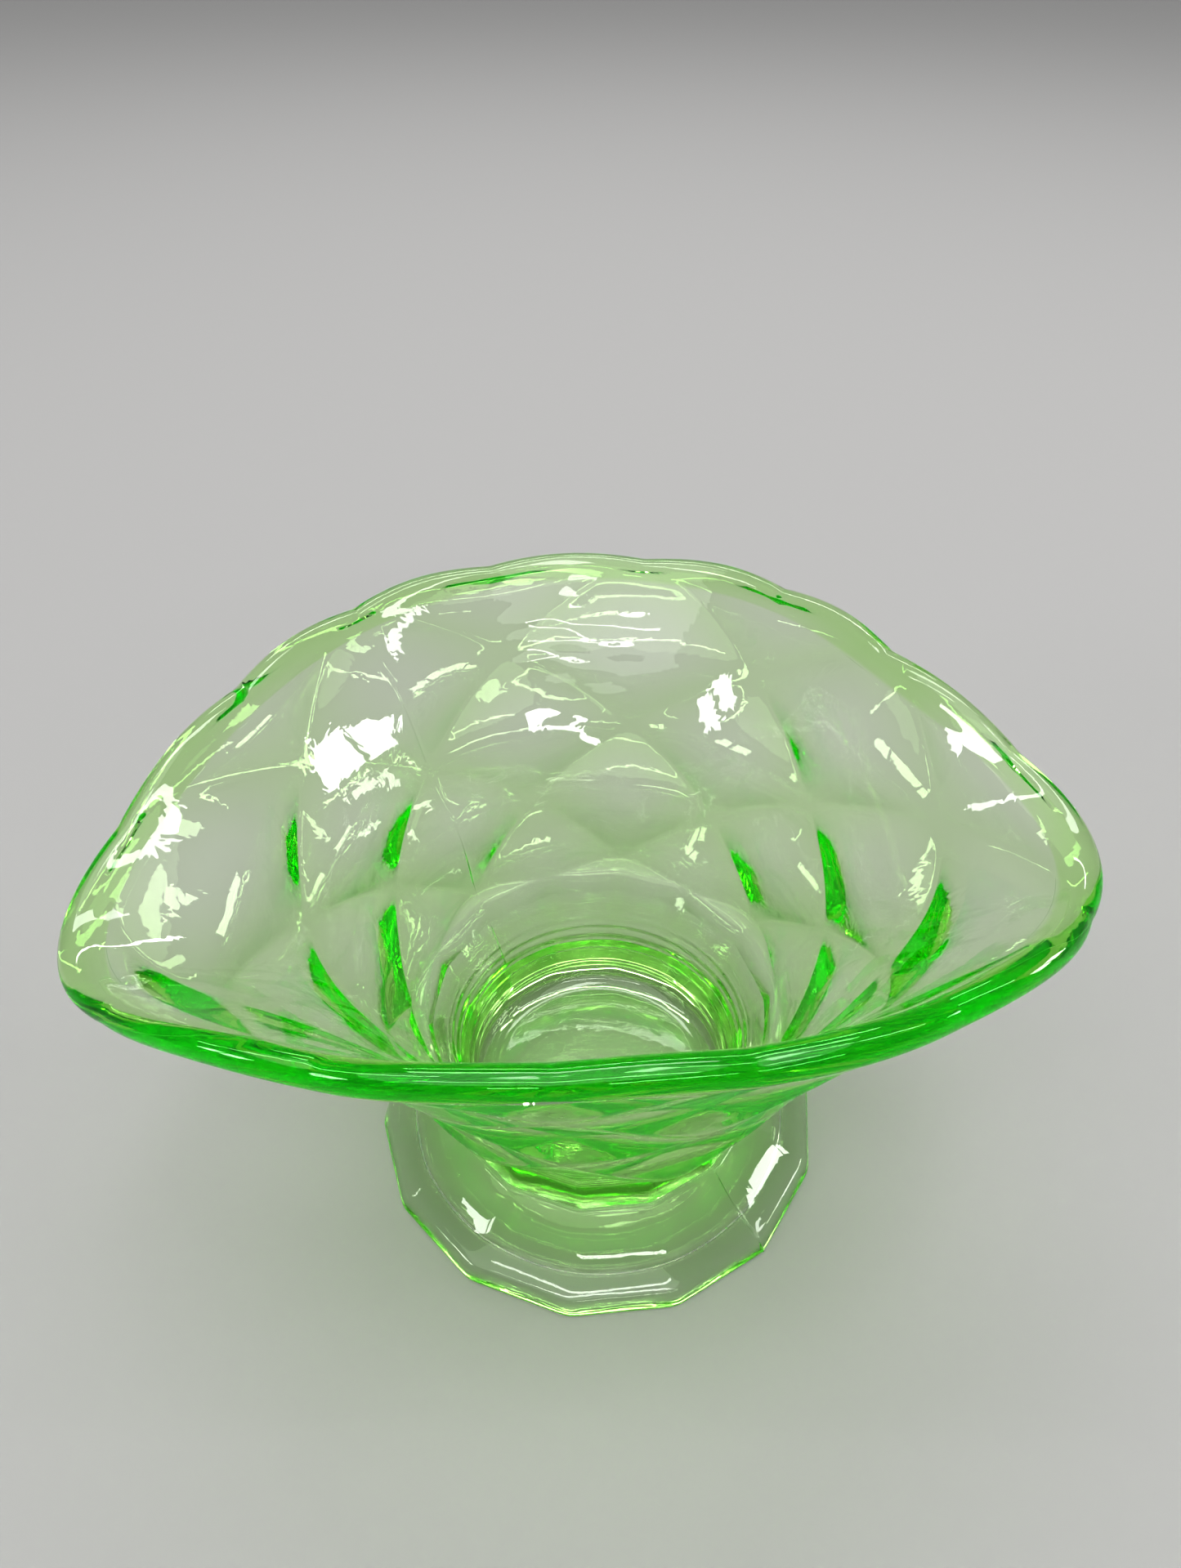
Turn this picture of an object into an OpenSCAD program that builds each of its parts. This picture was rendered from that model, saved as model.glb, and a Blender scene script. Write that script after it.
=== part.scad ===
// Footed pressed-glass fan bowl. The glass is one pressing; each node is one zone of it,
// and neighbouring zones meet face to face.
// Azimuths are in degrees from the front of the fan (-Y), positive towards +X.

/* [Foot] */
// Number of panels round the foot, waist and bowl (even)
panels = 14; // [8:2:20]
// Width of the foot across opposite corners
foot_d = 90; // [74:1:110]
// Height of the upright edge of the foot
foot_edge_h = 3; // [2:0.5:5]
// Inward draft of the upright edge
foot_edge_draft = 1.3; // [0:0.1:2]
// Height of the foot, which is also the floor of the well
foot_h = 13; // [10:0.5:18]
// Width of the foot's neck across opposite corners
neck_d = 63; // [52:0.5:70]
// How far the sloping top of the foot is dished below a straight slope
foot_dish = 1.4; // [0:0.1:2.5]
// Width of the ring that the foot stands on, at the corners
foot_ring_w = 8.5; // [5:0.5:10.5]
// Height of the hollow's wall
hollow_wall_h = 1.4; // [0.5:0.1:2.4]
// Height of the hollow at its centre
hollow_rise = 5; // [3:0.5:6]

/* [Waist] */
// Height of the waist, from the foot to its joint with the bowl
waist_h = 17; // [13:0.5:24]
// Ledge between the foot's neck and the waist
waist_ledge = 0.8; // [0.5:0.1:2]
// How far the waist narrows above its base
waist_pinch = 0.7; // [0:0.1:1.5]
// How far the waist spreads from its narrowest place to its joint with the bowl
waist_spread = 4.5; // [3:0.5:7]

/* [Well] */
// Glass thickness between the well and the flats of the waist at its narrowest place
waist_wall = 3.6; // [3:0.1:5]
// How far the well narrows below that place, down to its flat floor
well_taper = 6; // [5:0.5:8]
// Radius of the round between the floor and the wall of the well
well_round = 5; // [2:0.5:6]
// Glass thickness at the flats of the joint between waist and bowl
joint_wall = 4.1; // [3.5:0.1:6]

/* [Bowl] */
// Height of the skirt, from the waist to the lower edge of the faceted wall
skirt_h = 6; // [4.5:0.5:9]
// How far the skirt spreads outwards
skirt_spread = 4.7; // [3:0.1:6]
// Length of the faceted wall, straight from its lower edge to the rim
wall_len = 63; // [52:0.5:76]
// Slope of the wall where it starts
wall_start = 73.5; // [66:0.5:80]
// Mean slope of the wall from its lower edge to the rim
flare_mean = 62.4; // [56:0.2:66]
// Extra slope at the front, taken away at the back
front_lift = 4.1; // [0:0.1:7]
// Extra slope on the right, taken away on the left
lean = 4.2; // [0:0.1:6]
// Slope of the wave that makes the front straight and the shoulders full
shoulders = 4.4; // [0:0.1:6]
// Turn of that wave to the left
shoulder_turn = 7; // [0:1:15]
// Slope lost at the left corner of the fan, which is drawn out to a point
left_corner = 11.4; // [0:0.2:14]
// Slope lost at the right corner of the fan
right_corner = 13; // [0:0.2:16]
// Glass thickness at the lower edge of the faceted wall
wall_base = 6; // [5:0.1:7.2]
// Glass thickness under the rim
wall_rim = 4.6; // [3.8:0.1:6]

/* [Facets] */
// Depth of the hollow facets outside
facet_depth = 2.0; // [0.5:0.1:2.4]
// Drop of the lower edge between two ridges
zigzag = 2.2; // [0:0.1:3]

/* [Rim] */
// How much thicker the fire-polished bead is than the wall
rim_swell = 0.4; // [0:0.1:1]
// Height of the rim band
rim_h = 6; // [5:0.5:9]
// Depth of the notches round the rim
scallop = 1.1; // [0:0.1:1.6]

/* [Hidden] */

// Steps round one panel and up one row of facets
panel_steps = 6;
row_steps = 6;
// Rows of facets, and the place of each row's ridge crossings up the wall
row_t = [1, 0.70, 0.45, 0.235, 0];
rows = len(row_t) - 1;
// Azimuth of the fan's corners, and half width of the drawn-out stretch at each
corner_at = 74.5;
left_corner_w = 17;
right_corner_w = 23;
// Rings on the inner face of the bowl, and round the rim bead
inner_rings = 9;
bead_rings = 9;
// Slices in the round of the well, and of the foot's dished top
well_slices = 8;
dish_slices = 5;

pitch = 360 / panels;
around = panels * panel_steps;
joint_t = 1 - rim_h / wall_len;
flat_share = cos(pitch / 2);

// Corner radii and heights, each from the one below it
foot_r = foot_d / 2;
neck_r = neck_d / 2;
waist_base_r = neck_r - waist_ledge;
waist_r = waist_base_r - waist_pinch;
waist_z = foot_h + 0.4 * waist_h;
waist_top_r = waist_r + waist_spread;
waist_top_z = foot_h + waist_h;
well_floor_r = waist_r * flat_share - waist_wall - well_taper;
well_top_r = waist_top_r * flat_share - joint_wall;
bowl_base_r = waist_top_r + skirt_spread;
bowl_base_z = waist_top_z + skirt_h;
glass_green = [0.45, 0.85, 0.35, 0.6];
deep_green = [0.25, 0.75, 0.25, 0.6];

function lerp(a, b, f) = a + (b - a) * f;
function unit_step(f) = let (g = max(0, min(1, f))) g * g * (3 - 2 * g);
function dir(angle) = [cos(angle), sin(angle)];
function wrap(a) = a > 180 ? a - 360 : a < -180 ? a + 360 : a;
function bump(a, w) = exp(-pow(wrap(a) / w, 2));

// Azimuth of step i, and its place counted in panels
function azimuth(i) = i * 360 / around;
function column(i) = i / panel_steps + 0.5;
// A point of the profile (radius, height) turned to its azimuth
function turned(p, a) = [p[0] * sin(a), -p[0] * cos(a), p[1]];

// Radius of a regular polygon with its corners on the columns, as a share of its corner radius
function polygon_share(i) = let (off = azimuth(i) % pitch)
    flat_share / cos(off > pitch / 2 ? pitch - off : off);

// Slope of the wall at an azimuth, from its lower edge to the rim
function flare(a) = flare_mean + front_lift * cos(a) + lean * sin(a)
    + shoulders * cos(3 * (a + shoulder_turn)) - left_corner * bump(a + corner_at, left_corner_w)
    - right_corner * bump(a - corner_at, right_corner_w);

// The wall's profile: a Bezier curve from the lower edge to the rim
lower_edge = [bowl_base_r, bowl_base_z];
function handle(a, k) = k == 0 ? lower_edge
    : k == 1 ? lower_edge + wall_len / 3 * dir(wall_start)
    : k == 2 ? handle(a, 3) - wall_len / 3 * dir(2 * flare(a) - wall_start)
    : lower_edge + wall_len * dir(flare(a));
function on_wall(a, t) = pow(1 - t, 3) * handle(a, 0) + 3 * pow(1 - t, 2) * t * handle(a, 1)
    + 3 * (1 - t) * t * t * handle(a, 2) + pow(t, 3) * handle(a, 3);
function wall_run(a, t) = pow(1 - t, 2) * (handle(a, 1) - handle(a, 0))
    + 2 * (1 - t) * t * (handle(a, 2) - handle(a, 1)) + t * t * (handle(a, 3) - handle(a, 2));
// Unit normal of the profile, pointing out of the bowl
function outward(a, t) = let (d = wall_run(a, t)) [d[1], -d[0]] / norm(d);
function thickness(t) = lerp(wall_base, wall_rim, t);

// Hollow diamond facets: ridges cross where column + row is odd
function facet(c, r) = let (
        u = c - floor(c), v = r - floor(r), even = (floor(c) + floor(r)) % 2 == 0,
        near = even ? [u, v] : [u, 1 - v], far = even ? [1 - u, 1 - v] : [1 - u, v],
        at = near[0] + near[1] <= far[0] + far[1] ? near : far)
    (1 - pow(at[0] + at[1], 2)) * (1 - pow(at[0] - at[1], 2));
// Place up the wall of row r; the lowest row drops between two ridges
function drop(c) = zigzag / wall_len * (1 + cos(180 * c)) / 2;
function row_place(r, c) = let (k = min(floor(r), rows - 1), t = lerp(row_t[k], row_t[k + 1], r - k))
    min(t, joint_t) - drop(c) * pow(r / rows, 6);
function cut(t, c, r) = facet_depth * facet(c, r) * unit_step((1 - t) * wall_len / rim_h / 1.6);

function outer_ring(r) = [for (i = [0:around - 1]) let (a = azimuth(i), c = column(i), t = row_place(r, c))
    turned(on_wall(a, t) - outward(a, t) * cut(t, c, r), a)];
function inner_ring(t) = [for (i = [0:around - 1]) let (a = azimuth(i))
    turned(on_wall(a, t) - outward(a, t) * thickness(t), a)];
function round_ring(r, z) = [for (i = [0:around - 1]) turned([r, z], azimuth(i))];
function panel_ring(r, z) = [for (i = [0:around - 1]) turned([r * polygon_share(i), z], azimuth(i))];
function corner_ring(r, z) = [for (k = [0:panels - 1]) turned([r, z], (k + 0.5) * pitch)];

// Row of the ring just under the rim band: rows count from the rim downwards
joint_row = (1 - joint_t) / (1 - row_t[1]);
facet_rows = [for (j = [rows * row_steps:-1:1]) if (j / row_steps > joint_row) j / row_steps];

// Two triangles for the patch between rings j and j + 1 at step i
function patch(a, b, c, d, rising) = rising ? [[a, b, c], [a, c, d]] : [[a, b, d], [b, c, d]];
function tube_faces(n, m, rising) = [for (j = [0:n - 1], i = [0:m - 1]) let (
        j1 = (j + 1) % n, i1 = (i + 1) % m)
    each patch(j * m + i, j * m + i1, j1 * m + i1, j1 * m + i, rising[j][i])];
function loft_faces(n, m) = [for (j = [0:n - 2], i = [0:m - 1]) let (i1 = (i + 1) % m)
    [j * m + i, j * m + i1, (j + 1) * m + i1, (j + 1) * m + i]];
function flat_list(rings) = [for (ring = rings, p = ring) p];

// A ring-shaped solid from closed rings that follow one another round its section
module ring_solid(rings, rising) {
    polyhedron(flat_list(rings), tube_faces(len(rings), len(rings[0]), rising), convexity = 12);
}

// A solid of flat panels from polygons stacked upwards
module stacked(rings) {
    m = len(rings[0]);
    last = (len(rings) - 1) * m;
    polyhedron(flat_list(rings), concat(loft_faces(len(rings), m),
        [[for (i = [m - 1:-1:0]) i]], [[for (i = [0:m - 1]) last + i]]), convexity = 6);
}

// The bead of the rim, at f from 0 outside to 1 inside; its outline sets the object's box,
// and the origin is the middle of that box
function bead(a, c, f) = let (
        t = 1 - scallop / wall_len * (1 - abs(sin(180 * c))),
        r = (thickness(t) + rim_swell) / 2, n = outward(a, t), along = wall_run(a, t) / norm(wall_run(a, t)))
    on_wall(a, t) - n * thickness(t) / 2 - along * r + r * (n * cos(180 * f) + along * sin(180 * f));
function bead_ring(f) = [for (i = [0:around - 1]) turned(bead(azimuth(i), column(i), f), azimuth(i))];
bead_rows = [for (k = [0:bead_rings]) bead_ring(k / bead_rings)];
xs = [for (p = flat_list(bead_rows)) p[0]];
ys = [for (p = flat_list(bead_rows)) p[1]];
middle = [(min(xs) + max(xs)) / 2, (min(ys) + max(ys)) / 2, 0];

// Polygonal foot with a dished, panelled top and a shallow round hollow underneath
module foot() {
    color(glass_green) translate(-middle) difference() {
        stacked(concat([corner_ring(foot_r, 0)], [for (k = [0:dish_slices]) let (f = k / dish_slices)
            corner_ring(lerp(foot_r - foot_edge_draft, neck_r, f),
                lerp(foot_edge_h, foot_h, f) - foot_dish * 4 * f * (1 - f))]));
        hollow(foot_r - foot_ring_w);
    }
}

// A short upright wall under a low dome
module hollow(r) {
    dome = hollow_rise - hollow_wall_h;
    ball_r = (r * r + dome * dome) / (2 * dome);
    intersection() {
        translate([0, 0, hollow_rise - ball_r]) sphere(r = ball_r, $fn = 96);
        translate([0, 0, -1]) cylinder(h = hollow_rise + 2, r = r, $fn = 96);
    }
}

// Panelled waist round the well
module waist() {
    color(deep_green) translate(-middle) difference() {
        stacked([corner_ring(waist_base_r, foot_h),
            corner_ring(lerp(waist_base_r, waist_r, 0.8), lerp(foot_h, waist_z, 0.5)),
            corner_ring(waist_r, waist_z),
            corner_ring(lerp(waist_r, waist_top_r, 0.35), lerp(waist_z, waist_top_z, 0.5)),
            corner_ring(waist_top_r, waist_top_z)]);
        rotate_extrude($fn = 96) well_section(1);
    }
}

// Half section of the well, from the axis outwards, with some spare above and below
module well_section(spare) {
    slope = atan2(waist_h - well_round, well_top_r - well_floor_r - well_round);
    top = [well_top_r, waist_top_z];
    above = top + spare * dir(slope);
    polygon(concat([[0, foot_h - spare], [well_floor_r, foot_h - spare]],
        [for (k = [0:well_slices]) let (turn = slope * k / well_slices)
            [well_floor_r + well_round * sin(turn), foot_h + well_round * (1 - cos(turn))]],
        [top, above, [0, above[1]]]));
}

// Faceted wall, flared to a fan, with the skirt below it
module bowl() {
    base = [round_ring(well_top_r, waist_top_z), panel_ring(waist_top_r, waist_top_z),
        panel_ring(lerp(waist_top_r, bowl_base_r, 0.4), lerp(waist_top_z, bowl_base_z, 0.5))];
    outer = [for (r = facet_rows) outer_ring(r)];
    inner = [for (k = [0:inner_rings - 1]) inner_ring(joint_t * (1 - k / (inner_rings - 1)))];
    rings = concat(base, outer, [outer_ring(joint_row)], inner);
    // The patches' diagonals run along the ridges
    rising = [for (j = [0:len(rings) - 1]) [for (i = [0:around - 1]) let (k = j - len(base))
        k < 0 || k >= len(facet_rows) || (floor(column(i) + 0.001) + floor(facet_rows[k] - 0.001)) % 2 == 0]];
    color(glass_green) translate(-middle) ring_solid(rings, rising);
}

// Fire-polished rim
module rim() {
    rings = concat([outer_ring(joint_row)], bead_rows, [inner_ring(joint_t)]);
    rising = [for (j = [0:len(rings) - 1]) [for (i = [0:around - 1]) j < len(rings) - 1]];
    color(deep_green) translate(-middle) ring_solid(rings, rising);
}

foot();
waist();
bowl();
rim();
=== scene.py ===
import math

import bpy
import numpy as np
from mathutils import Matrix, Vector


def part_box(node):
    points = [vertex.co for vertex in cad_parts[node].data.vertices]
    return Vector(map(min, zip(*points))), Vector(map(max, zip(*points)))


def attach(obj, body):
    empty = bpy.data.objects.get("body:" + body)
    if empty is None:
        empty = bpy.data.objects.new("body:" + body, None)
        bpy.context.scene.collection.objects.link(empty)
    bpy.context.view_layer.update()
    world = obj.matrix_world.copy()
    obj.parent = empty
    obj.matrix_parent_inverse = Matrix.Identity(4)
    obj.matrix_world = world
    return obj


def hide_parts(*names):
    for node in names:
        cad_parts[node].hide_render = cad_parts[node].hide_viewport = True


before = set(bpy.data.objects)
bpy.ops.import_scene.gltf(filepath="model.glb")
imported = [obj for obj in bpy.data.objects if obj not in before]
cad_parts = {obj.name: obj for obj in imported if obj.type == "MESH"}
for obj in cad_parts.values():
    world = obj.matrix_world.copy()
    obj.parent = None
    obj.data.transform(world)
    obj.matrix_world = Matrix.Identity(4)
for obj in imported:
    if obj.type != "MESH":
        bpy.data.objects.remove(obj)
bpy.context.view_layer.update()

# Lengths are in millimetres and angles in degrees, unless a comment says otherwise. Rings are
# built round the axis of the foot, and put() turns them into the frame's metres. Azimuths run
# from the front of the fan (-Y), positive towards +X.
MM = 0.001
SCENE = bpy.context.scene

# ---------------------------------------------------------------- sizes
foot_lo, foot_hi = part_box("foot")
waist_lo, waist_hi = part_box("waist")
AXIS = np.array([(foot_lo[0] + foot_hi[0]) / 2, (foot_lo[1] + foot_hi[1]) / 2, 0.0])
FOOT_H = foot_hi[2] / MM
FOOT_R = (foot_hi[0] - foot_lo[0]) / 2 / MM
WAIST_TOP = waist_hi[2] / MM
WAIST_TOP_R = (waist_hi[0] - waist_lo[0]) / 2 / MM
HALF_GAP = 0.01  # two zones of the one pressing stay twice this apart

PANELS = 14
PITCH = 360 / PANELS
FLAT_SHARE = math.cos(math.radians(PITCH / 2))
CORNER_SHARP = 170  # exponent of the rounded polygons
PANEL_STEPS = 24  # columns of points in one panel

EDGE_H, EDGE_DRAFT = 3.0, 1.3
NECK_R = 31.5
FOOT_DISH = 1.4
SLOPE_STEPS = 24
FOOT_RING_W = 8.5
HOLLOW_R = FOOT_R - FOOT_RING_W
HOLLOW_WALL, HOLLOW_RISE = 1.4, 5.0
HOLLOW_STEPS = 24

WAIST_BASE_R, WAIST_R = 30.7, 30.0
WAIST_Z = FOOT_H + 0.4 * (WAIST_TOP - FOOT_H)  # its narrowest place
WAIST_STEPS = 20

WAIST_WALL, WELL_TAPER, JOINT_WALL = 3.6, 6, 4.1
WELL_FLOOR_R = WAIST_R * FLAT_SHARE - WAIST_WALL - WELL_TAPER
WELL_TOP_R = WAIST_TOP_R * FLAT_SHARE - JOINT_WALL
WELL_ROUND = 5.0
WELL_DISH = 0.12
WELL_WALL_STEPS, WELL_ROUND_STEPS, WELL_FLOOR_STEPS = 64, 12, 20
WELL_SLOPE = math.degrees(
    math.atan2(WAIST_TOP - FOOT_H - WELL_ROUND, WELL_TOP_R - WELL_FLOOR_R - WELL_ROUND)
)
WELL_RIPPLE = 0.10
WELL_RIPPLE_LONG, WELL_RIPPLE_SHORT = 1.9, 1.1

SKIRT_H, SKIRT_SPREAD = 6, 4.7
SKIRT_STEPS = 8
LOWER_EDGE = np.array([WAIST_TOP_R + SKIRT_SPREAD, WAIST_TOP + SKIRT_H])
WALL_LEN = 63.0
WALL_START = 73.5
WALL_BASE, WALL_RIM = 6.0, 4.6
FLARE_MEAN = 62.4  # slope of the straight line from the wall's lower edge to the rim
FRONT_LIFT, LEAN = 4.1, 4.2
SHOULDERS, SHOULDER_TURN = 4.4, 7
CORNER_AT = 74.5
LEFT_CORNER, LEFT_CORNER_W = 11.4, 17
RIGHT_CORNER, RIGHT_CORNER_W = 13, 23
INNER_STEPS = 76
BLEND_STEPS, BLEND_PULL = 12, 8  # from the wall's inside down into the well

ROW_T = [1, 0.70, 0.45, 0.235, 0]  # where the facets' rows meet, as shares of the wall
ROWS = len(ROW_T) - 1
ROW_STEPS = 24
FACET_DEPTH = 2.5
RIDGE_SOFT = 0.03
FACET_FADE = 1.6  # the cuts fade out over this many heights of the rim
ZIGZAG = 2.2

RIM_H, RIM_SWELL, SCALLOP = 6.0, 0.4, 1.1
JOINT_T = 1 - RIM_H / WALL_LEN
JOINT_ROW = (1 - JOINT_T) / (1 - ROW_T[1])
BEAD_START_T = 0.950
RIM_OUTER_STEPS, BEAD_STEPS, RIM_INNER_STEPS = 6, 18, 8

SEAMS = (1.5 * PITCH, 8.5 * PITCH)  # the mould opened in two halves
SEAM_HEIGHT, SEAM_WIDTH = 0.24, 0.28
SEAM_ON_WALL = 0.3  # share of its height that the fire left on the wall
SEAM_COLUMNS = (0.1, 0.2, 0.3, 0.42, 0.6, 0.85)

# Waves of the uneven inner surface: turns round the axis, radians per mm up, phase, share
WANDER = 0.07
WANDER_WAVES = ((3, 0.11, 0, 1), (5, -0.17, 1.3, 1), (8, 0.23, 4.0, 0.7), (13, -0.31, 2.1, 0.5))
WRINKLE = 0.09
WRINKLE_AT, WRINKLE_AT_T = 181, 0.70
WRINKLE_WIDE, WRINKLE_TALL_T = 15, 0.17
WRINKLE_SHORT, WRINKLE_LONG = 4.3, 7.9


# ---------------------------------------------------------------- shape functions
def columns():
    """Azimuths of the columns of points, closer together beside the mould's seams."""
    even = np.arange(PANELS * PANEL_STEPS) * 360 / (PANELS * PANEL_STEPS)
    beside = [seam + side * step for seam in SEAMS for side in (-1, 1) for step in SEAM_COLUMNS]
    return np.sort(np.concatenate([even, beside]))


az = columns()
AROUND = len(az)
col = az / PITCH + 0.5  # whole numbers at the panels' corners


def lerp(a, b, f):
    return a + (b - a) * f


def unit_step(f):
    g = np.clip(f, 0, 1)
    return g * g * (3 - 2 * g)


def bump(a, w):
    a = (a + 180) % 360 - 180
    return np.exp(-((a / w) ** 2))


def unit(deg):
    s = np.radians(deg)
    return np.stack([np.cos(s) + 0 * az, np.sin(s) + 0 * az], axis=1)


def turned(r, z):
    """A ring of points, one in each column."""
    s = np.radians(az)
    return np.stack([r * np.sin(s), -r * np.cos(s), z + 0 * s], axis=1)


def polygon_share():
    """Radius of the 14-sided outline, with its corners at 1 and slightly rounded."""
    flats = np.arange(PANELS) * PITCH
    c = np.maximum(np.cos(np.radians(az[:, None] - flats[None, :])), 0) ** CORNER_SHARP
    return FLAT_SHARE / c.sum(axis=1) ** (1 / CORNER_SHARP)


SHARE = polygon_share()
SEAM = SEAM_HEIGHT * sum(np.exp(-(((az - s) / SEAM_WIDTH) ** 2)) for s in SEAMS)


def panel_ring(r, z, roundness=0.0):
    return turned(r * lerp(SHARE, 1.0, roundness), z)


def flare(a):
    """Mean slope of the wall: steep at the front, with two low corners pulled outwards."""
    s = np.radians(a)
    sides = FRONT_LIFT * np.cos(s) + LEAN * np.sin(s)
    sides = sides + SHOULDERS * np.cos(3 * (s + math.radians(SHOULDER_TURN)))
    left = LEFT_CORNER * bump(a + CORNER_AT, LEFT_CORNER_W)
    right = RIGHT_CORNER * bump(a - CORNER_AT, RIGHT_CORNER_W)
    return FLARE_MEAN + sides - left - right


# The wall's outer profile is a cubic curve at each azimuth, from its lower edge to the rim.
FLARE = flare(az)
H0 = LOWER_EDGE[None, :] + 0 * unit(FLARE)
H1 = H0 + WALL_LEN / 3 * unit(WALL_START)
H3 = H0 + WALL_LEN * unit(FLARE)
H2 = H3 - WALL_LEN / 3 * unit(2 * FLARE - WALL_START)


def on_wall(t):
    t = np.asarray(t + 0 * az)[:, None]
    return (1 - t) ** 3 * H0 + 3 * (1 - t) ** 2 * t * H1 + 3 * (1 - t) * t * t * H2 + t**3 * H3


def wall_run(t):
    """Unit direction up the wall."""
    t = np.asarray(t + 0 * az)[:, None]
    d = (1 - t) ** 2 * (H1 - H0) + 2 * (1 - t) * t * (H2 - H1) + t * t * (H3 - H2)
    return d / np.linalg.norm(d, axis=1)[:, None]


def outward(t):
    d = wall_run(t)
    return np.stack([d[:, 1], -d[:, 0]], axis=1)


def thickness(t):
    return lerp(WALL_BASE, WALL_RIM, t)


def facet(c, r):
    """Share of the cut's depth at column c and row r: 0 on a ridge, 1 in a facet's middle.
    The ridges run along one diagonal of each cell of the pattern, turned in every other cell."""
    fc, fr = np.floor(c), np.floor(r)
    u, v = c - fc, r - fr
    even = (fc + fr) % 2 == 0
    nu, nv = u, np.where(even, v, 1 - v)
    fu, fv = 1 - u, np.where(even, 1 - v, v)
    near = nu + nv <= fu + fv
    p, q = np.where(near, nu, fu), np.where(near, nv, fv)
    d = (1 - (p + q) ** 2) * (1 - (p - q) ** 2)
    return (np.sqrt(d * d + RIDGE_SOFT**2) - RIDGE_SOFT) / (math.sqrt(1 + RIDGE_SOFT**2) - RIDGE_SOFT)


def row_place(r):
    """Where row r, counted down from the rim, lies on the wall. The lowest one zigzags."""
    k = min(int(r), ROWS - 1)
    t = lerp(ROW_T[k], ROW_T[k + 1], r - k)
    drop = ZIGZAG / WALL_LEN * (1 + np.cos(math.pi * col)) / 2
    return min(t, JOINT_T) - drop * (r / ROWS) ** 6


def cut(t, r):
    fade = unit_step((1 - t) * WALL_LEN / RIM_H / FACET_FADE)
    return FACET_DEPTH * facet(col, r + 0 * col) * fade


def wander(a, h):
    """Slow unevenness left by the plunger and the reheating."""
    s = np.radians(a)
    return WANDER * sum(share * np.sin(n * s + k * h + phase) for n, k, phase, share in WANDER_WAVES)


def wrinkle(a, t):
    """Fine chill wrinkles that the plunger left at the middle of the back wall."""
    s = np.radians(a)
    place = bump(a - WRINKLE_AT, WRINKLE_WIDE) * np.exp(-(((t - WRINKLE_AT_T) / WRINKLE_TALL_T) ** 2))
    run = 2 * math.pi * t * WALL_LEN
    wavy = np.sin(run / WRINKLE_SHORT + 2.2 * np.sin(9 * s))
    return WRINKLE * place * (wavy + 0.6 * np.sin(run / WRINKLE_LONG + 21 * s))


def outer_ring(r):
    t = row_place(r)
    proud = SEAM_ON_WALL * SEAM * unit_step((JOINT_T - np.max(t)) * 4)
    p = on_wall(t) - outward(t) * (cut(t, r) - proud)[:, None]
    return turned(p[:, 0], p[:, 1])


def inner_ring(t):
    t = t + 0 * az
    swell = RIM_SWELL / 2 * unit_step((t - JOINT_T) / (1 - JOINT_T) * 1.8)
    p = on_wall(t) - outward(t) * (thickness(t) + swell)[:, None]
    uneven = wander(az, t * WALL_LEN) * np.clip(t * 6, 0, 1) + wrinkle(az, t)
    p = p - outward(t) * uneven[:, None]
    return turned(p[:, 0], p[:, 1])


def notch():
    """How far the scalloped edge lies below the wall's full length, as a share of it."""
    return SCALLOP / WALL_LEN * (1 - np.abs(np.sin(math.pi * col)))


def bead_ring(f):
    """A ring of the rounded edge, from its outer side at 0 to its inner side at 1."""
    t = 1 - notch()
    r = (thickness(t) + RIM_SWELL) / 2
    n, along = outward(t), wall_run(t)
    middle = on_wall(t) - n * (thickness(t) / 2)[:, None] - along * r[:, None]
    p = middle + r[:, None] * (n * math.cos(math.pi * f) + along * math.sin(math.pi * f))
    p = p - n * (wander(az, t * WALL_LEN) * f)[:, None]
    return turned(p[:, 0], p[:, 1])


# ---------------------------------------------------------------- meshes
BOTTOM_FAN, TOP_FAN = -1, -2  # bands of the faces that close an open stack of rings


def put(points):
    return points * MM + AXIS


def ring_faces(count, closed, rising):
    """Triangles between neighbouring rings, and the number of the band each lies in."""
    i = np.arange(AROUND)
    i1 = (i + 1) % AROUND
    tris, band = [], []
    for j in range(count if closed else count - 1):
        low, high = j * AROUND, (j + 1) % count * AROUND
        a, b, c, d = low + i, low + i1, high + i1, high + i
        up = np.ones(AROUND, bool) if rising is None or rising[j] is None else rising[j]
        tris.append(np.where(up[:, None], np.stack([a, b, c], 1), np.stack([a, b, d], 1)))
        tris.append(np.where(up[:, None], np.stack([a, c, d], 1), np.stack([b, c, d], 1)))
        band += [np.full(AROUND, j)] * 2
    if not closed:
        bottom, top, last = count * AROUND, count * AROUND + 1, (count - 1) * AROUND
        tris.append(np.stack([i1, i, np.full(AROUND, bottom)], 1))
        tris.append(np.stack([last + i, last + i1, np.full(AROUND, top)], 1))
        band += [np.full(AROUND, BOTTOM_FAN), np.full(AROUND, TOP_FAN)]
    return np.concatenate(tris), np.concatenate(band)


def face_attribute(mesh, name, chosen):
    attribute = mesh.attributes.new(name, "FLOAT", "FACE")
    attribute.data.foreach_set("value", chosen.astype(np.float32))


def sharpen(mesh, rings):
    """Mark the edges along these rings as sharp."""
    ends = np.empty(len(mesh.edges) * 2, np.int32)
    mesh.edges.foreach_get("vertices", ends)
    ring_of = ends.reshape(-1, 2) // AROUND
    sharp = (ring_of[:, 0] == ring_of[:, 1]) & np.isin(ring_of[:, 0], rings)
    mesh.attributes.new("sharp_edge", "BOOLEAN", "EDGE").data.foreach_set("value", sharp)


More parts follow.
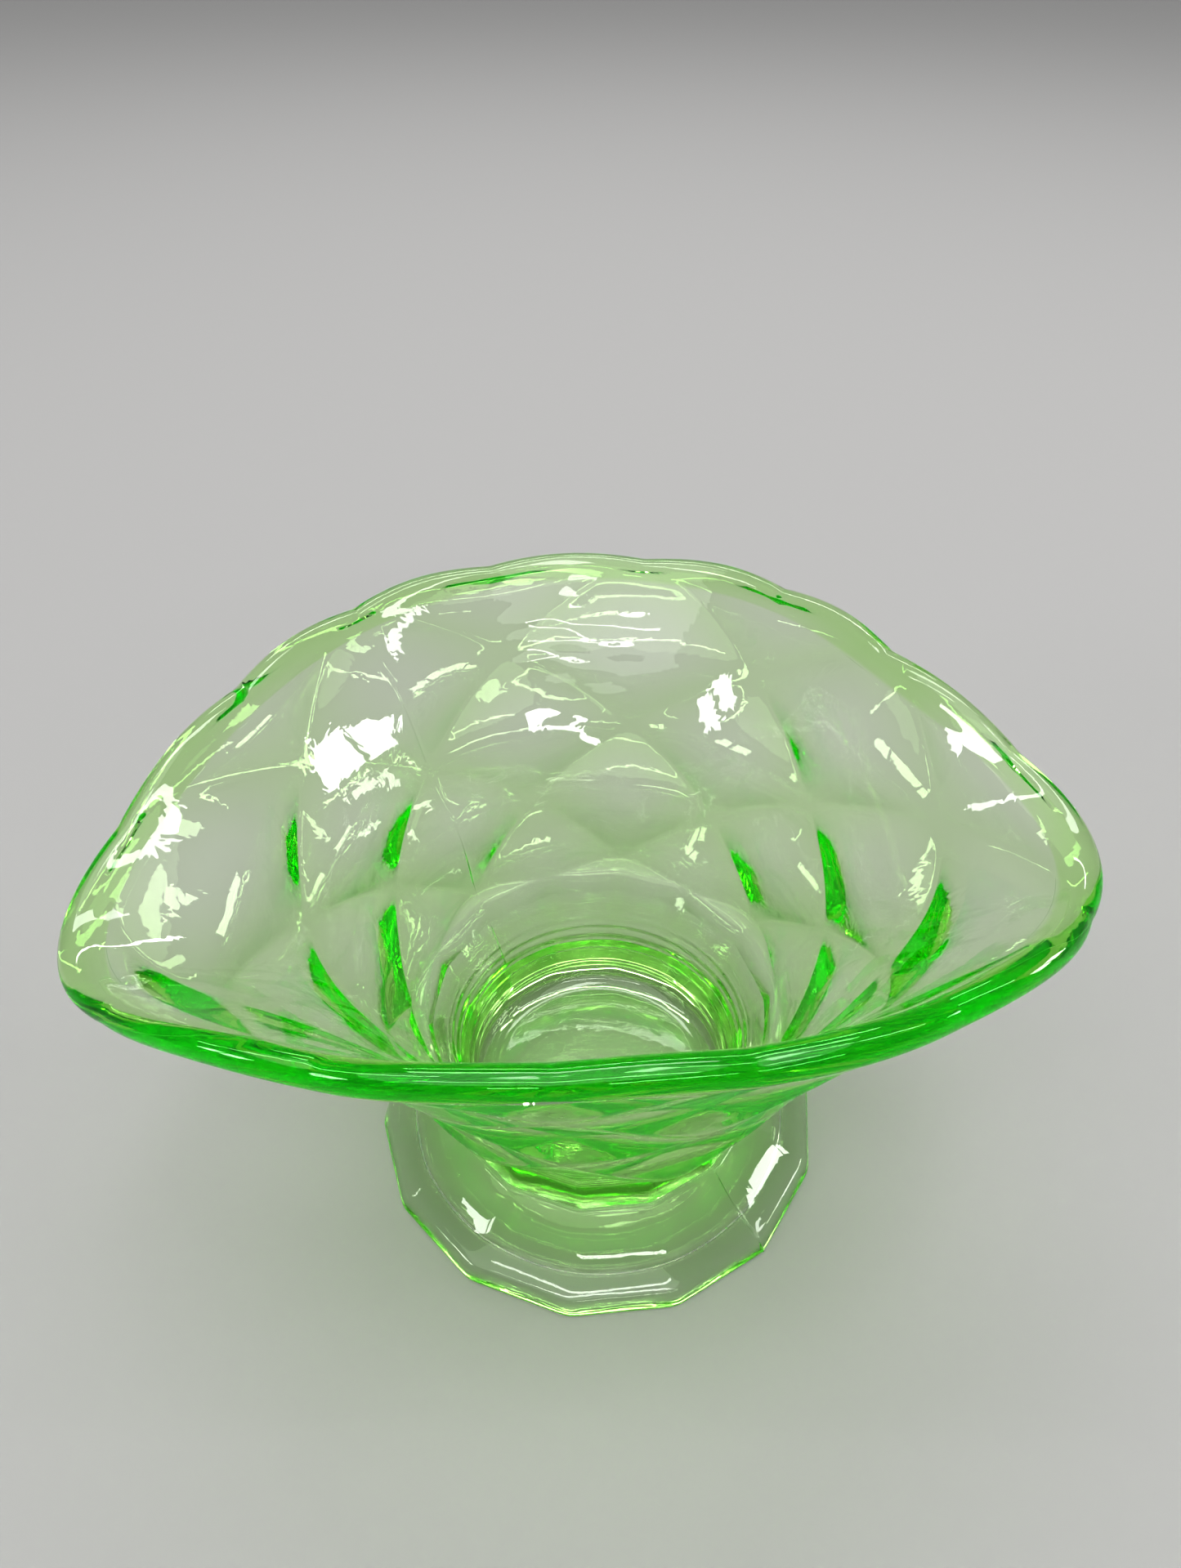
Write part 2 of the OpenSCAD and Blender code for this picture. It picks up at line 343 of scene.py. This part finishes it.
def solid(name, rings, caps, material, closed=True, rising=None, moulded=()):
    """A closed mesh from rings round the axis. caps are the bands in a joint, where the glass
    goes on. rising says which diagonal splits each face of a band. moulded are the bands that
    kept the mould's duller surface."""
    n = len(rings)
    verts = put(np.concatenate(rings))
    if not closed:
        poles = put(np.stack([rings[0].mean(axis=0), rings[-1].mean(axis=0)]))
        verts = np.concatenate([verts, poles])
    tris, band = ring_faces(n, closed, rising)
    mesh = bpy.data.meshes.new(name)
    mesh.from_pydata(verts.tolist(), [], tris.tolist())
    mesh.materials.append(material)
    is_cap = np.isin(band, [c % n for c in caps])
    mesh.polygons.foreach_set("use_smooth", ~is_cap)
    face_attribute(mesh, "surface", ~is_cap)
    face_attribute(mesh, "moulded", np.isin(band, moulded))
    sharpen(mesh, sorted({c % n for c in caps} | {(c + 1) % n for c in caps}))
    mesh.update()
    obj = bpy.data.objects.new(name, mesh)
    SCENE.collection.objects.link(obj)
    return obj


# ---------------------------------------------------------------- glass
GREEN = (0.47, 0.965, 0.0, 1)
GREEN_DENSITY = 74.0  # per metre
SHADOW_LIGHT = 0.45  # share of a lamp's light that passes each surface of the glass
GLASS_IOR = 1.51
POLISHED, MOULDED = 0.012, 0.03  # roughness
RIPPLE_SCALE, SWELL_SCALE = 230.0, 75.0  # per metre


def new_material(name):
    mat = bpy.data.materials.new(name)
    mat.use_nodes = True
    mat.node_tree.nodes.clear()
    return mat, mat.node_tree, mat.node_tree.nodes.new("ShaderNodeOutputMaterial")


def node(nt, kind, **sockets):
    n = nt.nodes.new(kind)
    for name, value in sockets.items():
        n.inputs[name].default_value = value
    return n


def maths(nt, operation, *terms):
    n = nt.nodes.new("ShaderNodeMath")
    n.operation = operation
    for socket, term in zip(n.inputs, terms):
        if isinstance(term, bpy.types.NodeSocket):
            nt.links.new(term, socket)
        else:
            socket.default_value = term
    return n.outputs[0]


def attribute(nt, name):
    n = nt.nodes.new("ShaderNodeAttribute")
    n.attribute_name = name
    return n.outputs["Fac"]


def uneven_surface(nt, bump_mm):
    """Fine ripples of the chilled surface over slower swells."""
    coords = nt.nodes.new("ShaderNodeTexCoord")
    ripple = node(nt, "ShaderNodeTexNoise", Scale=RIPPLE_SCALE, Detail=2.0, Roughness=0.5, Distortion=0.6)
    swell = node(nt, "ShaderNodeTexNoise", Scale=SWELL_SCALE, Detail=1.0, Roughness=0.4, Distortion=0.3)
    fine = node(nt, "ShaderNodeBump", Strength=1.0, Distance=bump_mm * MM)
    slow = node(nt, "ShaderNodeBump", Strength=1.0, Distance=bump_mm * MM * 3)
    for noise, relief in ((ripple, fine), (swell, slow)):
        nt.links.new(coords.outputs["Object"], noise.inputs["Vector"])
        nt.links.new(noise.outputs[0], relief.inputs["Height"])
    nt.links.new(fine.outputs[0], slow.inputs["Normal"])
    return slow.outputs[0]


def glass(name, bump_mm, depth):
    """Green glass. depth is the strength of its green, with 1 for the plain colour. The pieces are one
    glass: the deeper green in the rim is painted shade, and the paler green in the foot is painted light.
    """
    mat, nt, out = new_material(name)
    p = node(nt, "ShaderNodeBsdfPrincipled", IOR=GLASS_IOR)
    p.inputs["Base Color"].default_value = (1, 1, 1, 1)
    p.inputs["Transmission Weight"].default_value = 1.0
    dull = node(nt, "ShaderNodeMapRange")
    dull.inputs["To Min"].default_value = POLISHED
    dull.inputs["To Max"].default_value = MOULDED
    nt.links.new(attribute(nt, "moulded"), dull.inputs["Value"])
    nt.links.new(dull.outputs["Result"], p.inputs["Roughness"])
    nt.links.new(uneven_surface(nt, bump_mm), p.inputs["Normal"])
    shadow_ray = nt.nodes.new("ShaderNodeLightPath").outputs["Is Shadow Ray"]
    veil = maths(nt, "MULTIPLY_ADD", shadow_ray, -SHADOW_LIGHT, 1.0)
    nt.links.new(maths(nt, "MULTIPLY", attribute(nt, "surface"), veil), p.inputs["Alpha"])
    tint = node(nt, "ShaderNodeVolumeAbsorption", Color=GREEN, Density=GREEN_DENSITY * depth)
    nt.links.new(p.outputs[0], out.inputs["Surface"])
    nt.links.new(tint.outputs[0], out.inputs["Volume"])
    return mat


# One glass in four strengths. The rim's deeper green is painted shade, standing in for the dark green that
# gathers in its thick edge. The foot's paler green is painted light that lifts the shade under it. The
# waist is set deeper and the bowl near the plain colour.
foot_mat = glass("foot_glass", 0.03, 0.38)
waist_mat = glass("waist_glass", 0.04, 1.5)
bowl_mat = glass("bowl_glass", 0.05, 0.95)
rim_mat = glass("rim_glass", 0.03, 1.75)


# ---------------------------------------------------------------- foot
def hollow_profile():
    """The domed hollow under the foot, from near its middle out to the ring it stands on."""
    dome = HOLLOW_RISE - HOLLOW_WALL
    ball = (HOLLOW_R**2 + dome**2) / (2 * dome)
    pts = []
    for k in range(1, HOLLOW_STEPS + 1):
        r = (HOLLOW_R - 0.9) * k / HOLLOW_STEPS
        pts.append((r, HOLLOW_RISE - ball + math.sqrt(ball**2 - r * r)))
    z_in = pts[-1][1]
    shoulder = [(HOLLOW_R - 0.35, z_in - 0.35), (HOLLOW_R - 0.08, z_in - 0.75)]
    lip = [(HOLLOW_R, 0.45), (HOLLOW_R + 0.12, 0.14), (HOLLOW_R + 0.45, 0.0)]
    return pts + shoulder + lip


def foot_edge():
    """The foot's panelled outside, from the ring it stands on up to its neck. Each place has
    a radius, a height and how far the polygon is rounded there."""
    edge = [(HOLLOW_R + 3.5, 0, 0.35), (FOOT_R - 2.5, 0, 0.0), (FOOT_R - 0.7, 0, 0)]
    edge += [(FOOT_R - 0.22, 0.1, 0), (FOOT_R - 0.03, 0.45, 0)]
    for k in range(1, 5):
        f = k / 5
        edge.append((FOOT_R - 0.03 - f * (EDGE_DRAFT - 0.03), 0.45 + f * (EDGE_H - 0.45) * 0.93, 0))
    edge.append((FOOT_R - EDGE_DRAFT - 0.12, EDGE_H - 0.06, 0))
    for k in range(1, SLOPE_STEPS):
        f = 0.02 + 0.98 * k / SLOPE_STEPS
        z = lerp(EDGE_H, FOOT_H, f) - FOOT_DISH * 4 * f * (1 - f)
        edge.append((lerp(FOOT_R - EDGE_DRAFT, NECK_R, f), z, 0))
    return edge + [(NECK_R - 0.05, FOOT_H - HALF_GAP, 0)]


def foot_rings():
    rings = [turned(r, z) for r, z in hollow_profile()]
    for r, z, roundness in foot_edge():
        out = SEAM * unit_step(z / 0.5)
        up = out * unit_step((FOOT_H - z) / 2) * unit_step((z - EDGE_H) / 1)
        rings.append(panel_ring(r, z, roundness) + turned(out, up))
    rings.append(panel_ring(WAIST_BASE_R, FOOT_H - HALF_GAP))
    cap = len(rings) - 1
    rings.append(turned(WELL_FLOOR_R, FOOT_H - HALF_GAP))
    for k in range(1, WELL_FLOOR_STEPS):
        f = 1 - k / WELL_FLOOR_STEPS
        rings.append(turned(WELL_FLOOR_R * f, FOOT_H - HALF_GAP - WELL_DISH * (1 - f * f)))
    return rings, [cap]


rings, caps = foot_rings()
hollow = range(BOTTOM_FAN, HOLLOW_STEPS)
foot = solid("foot_of_pressed_glass", rings, caps, foot_mat, closed=False, moulded=hollow)


# ---------------------------------------------------------------- waist
def waist_radius(z):
    if z < WAIST_Z:
        return WAIST_R + (WAIST_BASE_R - WAIST_R) * (1 - (z - FOOT_H) / (WAIST_Z - FOOT_H)) ** 2
    return WAIST_R + (WAIST_TOP_R - WAIST_R) * ((z - WAIST_Z) / (WAIST_TOP - WAIST_Z)) ** 1.5


def well_ripple(depth):
    """Rings that the turned plunger left on the well's wall."""
    turn = 2 * math.pi * depth
    return WELL_RIPPLE * (math.sin(turn / WELL_RIPPLE_LONG) + 0.4 * math.sin(turn / WELL_RIPPLE_SHORT + 1))


def well_profile():
    """From the top of the well down to its floor."""
    slope = math.radians(WELL_SLOPE)
    foot_r = WELL_FLOOR_R + WELL_ROUND * math.sin(slope)
    foot_z = FOOT_H + WELL_ROUND * (1 - math.cos(slope))
    pts = []
    for k in range(WELL_WALL_STEPS + 1):
        f = k / WELL_WALL_STEPS
        r, z = lerp(WELL_TOP_R, foot_r, f), lerp(WAIST_TOP, foot_z, f)
        pts.append((r + min(1, f * 5) * well_ripple(WAIST_TOP - z), z))
    for k in range(1, WELL_ROUND_STEPS + 1):
        a = slope * (1 - k / WELL_ROUND_STEPS)
        pts.append((WELL_FLOOR_R + WELL_ROUND * math.sin(a), FOOT_H + WELL_ROUND * (1 - math.cos(a))))
    pts[0] = (pts[0][0], WAIST_TOP - HALF_GAP)
    pts[-1] = (pts[-1][0], FOOT_H + HALF_GAP)
    return pts


def waist_rings():
    lo, hi = FOOT_H + HALF_GAP, WAIST_TOP - HALF_GAP
    rings = []
    for k in range(WAIST_STEPS + 1):
        z = lerp(lo, hi, k / WAIST_STEPS)
        fade = unit_step((z - lo) / 2) * unit_step((hi - z) / 2)
        rings.append(panel_ring(waist_radius(z), z) + turned(SEAM * fade, 0 * az))
    cap = len(rings) - 1
    rings += [turned(r, z) for r, z in well_profile()]
    return rings, [cap, len(rings) - 1]


rings, caps = waist_rings()
waist = solid("waist_with_the_well", rings, caps, waist_mat)


# ---------------------------------------------------------------- bowl
def skirt_rings():
    p0 = np.stack([WAIST_TOP_R * SHARE, WAIST_TOP + HALF_GAP + 0 * az], axis=1)
    t = row_place(ROWS)
    p2 = on_wall(t) - outward(t) * cut(t, ROWS)[:, None]
    p1 = np.stack([lerp(p0[:, 0], p2[:, 0], 0.25), lerp(p0[:, 1], p2[:, 1], 0.65)], axis=1)
    rings = []
    for k in range(SKIRT_STEPS):
        f = k / SKIRT_STEPS
        p = (1 - f) ** 2 * p0 + 2 * f * (1 - f) * p1 + f * f * p2
        rings.append(turned(p[:, 0], p[:, 1]))
    return rings


def blend_rings():
    """From the wall's inside down into the well, in one smooth curve."""
    p0 = np.array([WELL_TOP_R, WAIST_TOP + HALF_GAP])
    p1 = (on_wall(0) - outward(0) * WALL_BASE)[0]
    slope = math.radians(WELL_SLOPE)
    t0 = np.array([math.cos(slope), math.sin(slope)]) * BLEND_PULL
    t1 = wall_run(0)[0] * BLEND_PULL
    rings = []
    for k in range(1, BLEND_STEPS + 1):
        f = 1 - k / BLEND_STEPS
        p = ((2 * f**3 - 3 * f * f + 1) * p0 + (f**3 - 2 * f * f + f) * t0
             + (-2 * f**3 + 3 * f * f) * p1 + (f**3 - f * f) * t1)
        rings.append(turned(p[0], p[1]))
    return rings


def bowl_rings():
    rings = skirt_rings()
    rising = [None] * len(rings)
    for r in [j / ROW_STEPS for j in range(ROWS * ROW_STEPS, 0, -1) if j / ROW_STEPS > JOINT_ROW + 0.01]:
        rings.append(outer_ring(r))
        rising.append((np.floor(col + 0.001) + math.floor(r - 0.001)) % 2 == 0)
    rings.append(outer_ring(JOINT_ROW))
    cap_top = len(rings) - 1
    rings += [inner_ring(JOINT_T * (1 - k / INNER_STEPS)) for k in range(INNER_STEPS + 1)]
    rings += blend_rings()
    rising += [None] * (len(rings) - len(rising))
    return rings, [cap_top, len(rings) - 1], rising


rings, caps, rising = bowl_rings()
bowl = solid("faceted_fan_bowl", rings, caps, bowl_mat, rising=rising)


# ---------------------------------------------------------------- rim
def rim_rings():
    bottom = JOINT_T + 2 * HALF_GAP / WALL_LEN
    rings = []
    for k in range(RIM_OUTER_STEPS + 1):
        t = lerp(bottom, BEAD_START_T, k / RIM_OUTER_STEPS)
        r = (1 - t) / (1 - ROW_T[1])
        swell = RIM_SWELL / 2 * unit_step((k - 2) / 4)
        p = on_wall(t) - outward(t) * (cut(t + 0 * az, r) - swell)[:, None]
        rings.append(turned(p[:, 0], p[:, 1]))
    rings += [bead_ring(k / BEAD_STEPS) for k in range(BEAD_STEPS + 1)]
    top = 1 - notch() - (WALL_RIM + RIM_SWELL) / 2 / WALL_LEN
    rings += [inner_ring(lerp(top, bottom, k / RIM_INNER_STEPS)) for k in range(1, RIM_INNER_STEPS + 1)]
    return rings, [len(rings) - 1]


rings, caps = rim_rings()
rim = solid("fire_polished_rim", rings, caps, rim_mat)

# The rim's slot speaks of deeper green glass. Its deeper green is painted shade on the same glass as the
# other pieces.
for piece, cad_node, slot in ((foot, "foot", "green_glass"), (waist, "waist", "green_glass"),
                              (bowl, "bowl", "green_glass"), (rim, "rim", "deep_green_glass")):
    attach(piece, "root")
    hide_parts(cad_node)

# ---------------------------------------------------------------- floor (metres)
FLOOR_R = 7.0
FLOOR_DROP = 0.00002
FLOOR_GREY = (0.31, 0.306, 0.302, 1)


def disc(name, radius, n=96, rings=12):
    """A flat disc, with its rings closer together near the middle."""
    verts, faces = [(0, 0, 0)], []
    for j in range(1, rings + 1):
        r = radius * (j / rings) ** 2
        turns = [2 * math.pi * i / n for i in range(n)]
        verts += [(r * math.cos(a), r * math.sin(a), 0) for a in turns]
    for i in range(n):
        faces.append((0, 1 + i, 1 + (i + 1) % n))
    for j in range(1, rings):
        a, b = 1 + (j - 1) * n, 1 + j * n
        for i in range(n):
            k = (i + 1) % n
            faces.append((a + i, b + i, b + k, a + k))
    mesh = bpy.data.meshes.new(name)
    mesh.from_pydata(verts, [], faces)
    obj = bpy.data.objects.new(name, mesh)
    SCENE.collection.objects.link(obj)
    return obj


def pale_floor():
    mat, nt, out = new_material("pale_floor")
    p = node(nt, "ShaderNodeBsdfPrincipled", Roughness=0.9)
    p.inputs["Base Color"].default_value = FLOOR_GREY
    nt.links.new(p.outputs[0], out.inputs["Surface"])
    return mat


floor = disc("floor", FLOOR_R)
floor.location = (0, 0, -FLOOR_DROP)
floor.data.materials.append(pale_floor())

# ---------------------------------------------------------------- light (metres)
WORLD_LIGHT = 0.52
WORLD_TINT = (0.97, 0.985, 1)
WORLD_STOPS = ((0.0, 0.62), (0.16, 0.60), (0.42, 0.50), (0.75, 0.75), (1.0, 0.70))

LIGHT_AIM = Vector((0, 0, 0.05))
# Name, place, width and height, and power in watts
SOFTBOXES = (
    ("overhead", (0.15, -0.12, 1.5), (0.45, 0.26), 3.0),
    ("ceiling_back", (0.05, 0.60, 1.45), (1.2, 0.20), 6.5),
    ("ceiling_front", (-0.1, -0.80, 1.45), (1.4, 0.065), 3.4),
    ("ceiling_left", (-0.95, 0.1, 1.40), (0.065, 1.2), 2.8),
    ("ceiling_right", (0.95, -0.1, 1.40), (0.065, 1.2), 2.8),
    ("front_strip", (0.25, -1.1, 0.75), (0.9, 0.05), 2.2),
    ("back_strip", (0.1, 1.0, 0.95), (1.0, 0.05), 2.6),
    ("right_window", (1.2, 0.09, 0.42), (0.18, 0.24), 1.8),
    ("right_window_2", (1.19, -0.12, 0.42), (0.18, 0.24), 1.8),
    ("left_window", (-1.1, -0.55, 0.6), (0.16, 0.24), 1.6),
    ("left_window_2", (-1.18, -0.36, 0.6), (0.16, 0.24), 1.6),
)
SKY_LIGHT, SKY_WIDTH = 1.5, 70
SKY_TILT = (12, -8, 0)


def studio_world():
    """A plain room, slightly darker at the horizon than overhead."""
    world = bpy.data.worlds.new("studio")
    world.use_nodes = True
    SCENE.world = world
    nt = world.node_tree
    background = nt.nodes["Background"]
    coords = nt.nodes.new("ShaderNodeTexCoord")
    parts = nt.nodes.new("ShaderNodeSeparateXYZ")
    nt.links.new(coords.outputs["Generated"], parts.inputs[0])
    ramp = nt.nodes.new("ShaderNodeValToRGB")
    while len(ramp.color_ramp.elements) < len(WORLD_STOPS):
        ramp.color_ramp.elements.new(0.5)
    for element, (at, value) in zip(ramp.color_ramp.elements, WORLD_STOPS):
        element.position = at
        element.color = (*(value * share for share in WORLD_TINT), 1)
    nt.links.new(parts.outputs["Z"], ramp.inputs[0])
    nt.links.new(ramp.outputs[0], background.inputs["Color"])
    background.inputs["Strength"].default_value = WORLD_LIGHT


def lamp(name, kind, power):
    light = bpy.data.lights.new(name, kind)
    light.energy = power
    obj = bpy.data.objects.new(name, light)
    SCENE.collection.objects.link(obj)
    return light, obj


def softbox(name, at, size, power):
    light, obj = lamp(name, "AREA", power)
    light.shape = "RECTANGLE"
    light.size, light.size_y = size
    obj.location = at
    obj.rotation_euler = (LIGHT_AIM - Vector(at)).to_track_quat("-Z", "Y").to_euler()


def sky_light():
    """A wide, dim light from above, so that the floor is as bright far off as it is near."""
    light, obj = lamp("sky", "SUN", SKY_LIGHT)
    light.angle = math.radians(SKY_WIDTH)
    obj.rotation_euler = [math.radians(a) for a in SKY_TILT]


studio_world()
for box in SOFTBOXES:
    softbox(*box)
sky_light()

# ---------------------------------------------------------------- camera
LENS = 25.7
EYE = Vector((-15.12, -132.89, 207.38))  # from the axis of the foot, at the floor
LOOK = Vector((0.0742, 0.7484, -0.6591))
ROLL = 0.244


def aim(obj, eye, look, roll):
    forward = look.normalized()
    side = forward.cross(Vector((0, 0, 1))).normalized()
    up = side.cross(forward)
    c, s = math.cos(roll), math.sin(roll)
    side, up = side * c + up * s, up * c - side * s
    place = Matrix((side, up, -forward)).transposed().to_4x4()
    place.translation = eye
    obj.matrix_world = place


camera = bpy.data.cameras.new("camera")
camera.sensor_width = 36
camera.sensor_fit = "AUTO"
camera.lens = LENS
camera.clip_start = 0.005
cam = bpy.data.objects.new("camera", camera)
SCENE.collection.objects.link(cam)
SCENE.camera = cam
aim(cam, Vector(AXIS) + EYE * MM, LOOK, math.radians(ROLL))

# ---------------------------------------------------------------- picture
BOUNCES = 48  # light turns many times inside the rim before it comes out

SCENE.view_settings.view_transform = "Standard"
SCENE.view_settings.look = "High Contrast"
SCENE.view_settings.exposure = -0.38
SCENE.cycles.max_bounces = BOUNCES
SCENE.cycles.transmission_bounces = BOUNCES
SCENE.cycles.glossy_bounces = BOUNCES
SCENE.cycles.transparent_max_bounces = 20
